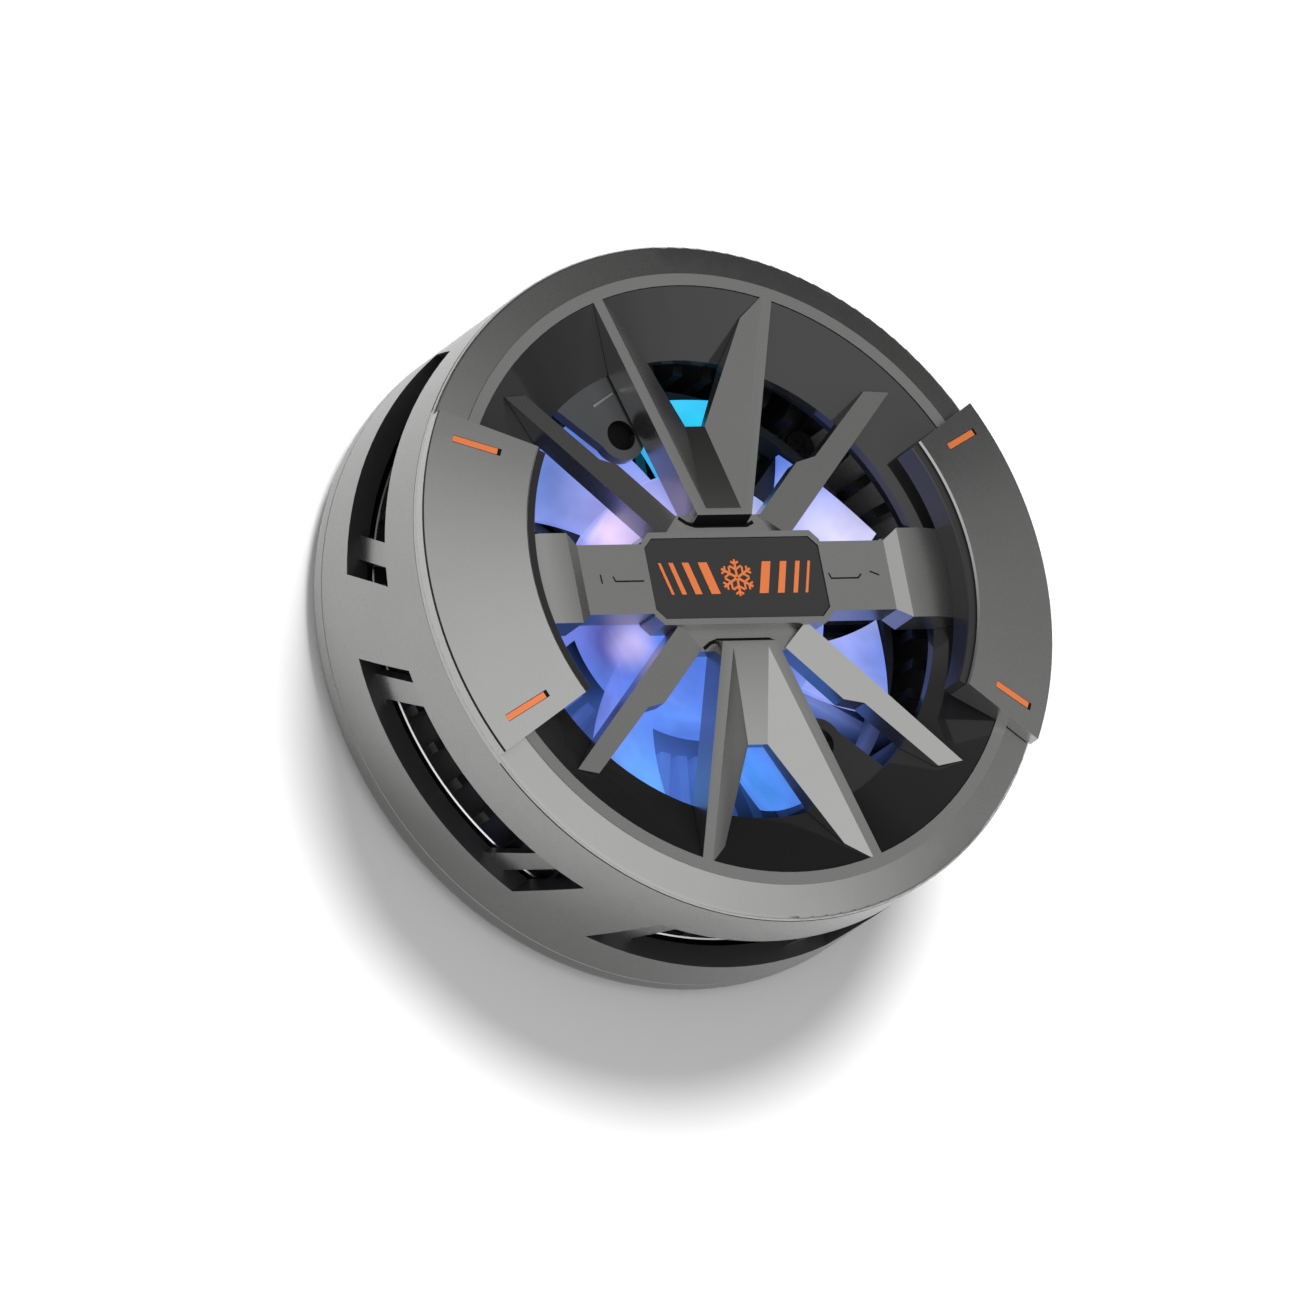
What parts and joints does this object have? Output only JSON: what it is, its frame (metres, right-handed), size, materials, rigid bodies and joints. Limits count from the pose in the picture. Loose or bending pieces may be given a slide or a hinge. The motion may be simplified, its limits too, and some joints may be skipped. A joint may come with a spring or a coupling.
{
  "type": "phone cooling fan",
  "caption": "Round clip-free phone cooler: vented drum with a spoked front grille, lit fan, radial heat sink, thermoelectric stack and magnetic back pad",
  "frame": {"origin": "on the fan's axis, at the face of the back pad that meets the phone", "axes": "+Z out of the front grille along the fan's axis, +X along the badge to the right, +Y up the badge"},
  "size_m": [0.068, 0.068, 0.0268],
  "materials": {
    "gunmetal": "satin dark metallic grey",
    "wing_grey": "satin dark metallic grey",
    "badge_black": "matt",
    "accent_orange": "semi-gloss",
    "funnel_black": "gloss",
    "fan_clear": "frosted, lit from inside",
    "frame_black": "matt",
    "pad_silicone": "matt",
    "aluminium": "satin",
    "sink_black": "black anodised",
    "ceramic_white": "matt",
    "pellet_grey": "matt",
    "pad_grey": "matt",
    "foam_black": "matt foam",
    "magnet_nickel": "nickel plated",
    "steel": "satin",
    "bronze": "satin",
    "core_steel": "laminated",
    "copper": "enamelled",
    "board_green": "satin",
    "led_white": "clear",
    "magnet_dark": "matt",
    "tongue_black": "matt"
  },
  "bodies": {
    "housing": {"front_cover": "gunmetal", "left_wing": "wing_grey", "right_wing": "wing_grey", "badge_plate": "badge_black", "accent_inserts": "accent_orange", "air_guide": "funnel_black", "housing_shell": "gunmetal", "back_cover": "gunmetal", "back_pad": "pad_silicone", "back_screws": "steel", "cold_plate": "aluminium", "holding_magnets": "magnet_nickel", "magnet_backing_ring": "steel", "peltier_cold_face": "ceramic_white", "peltier_pellets": "pellet_grey", "peltier_hot_face": "ceramic_white", "thermal_pad": "pad_grey", "insulation_foam": "foam_black", "heat_sink": "sink_black", "fan_frame": "frame_black", "fan_screws": "steel", "bearing_bush": "bronze", "motor_board": "board_green", "stator_core": "core_steel", "stator_coils": "copper", "control_board": "board_green", "light_chips": "led_white", "usb_socket": "steel", "usb_tongue": "tongue_black"},
    "rotor": {"impeller": "fan_clear", "rotor_yoke": "steel", "rotor_magnet": "magnet_dark", "motor_shaft": "steel"}
  },
  "joints": [
    {"name": "fan_spin", "type": "hinge", "parent": "housing", "child": "rotor", "pos_m": [0, 0, 0.014], "axis": [0, 0, 1], "continuous": true}
  ]
}
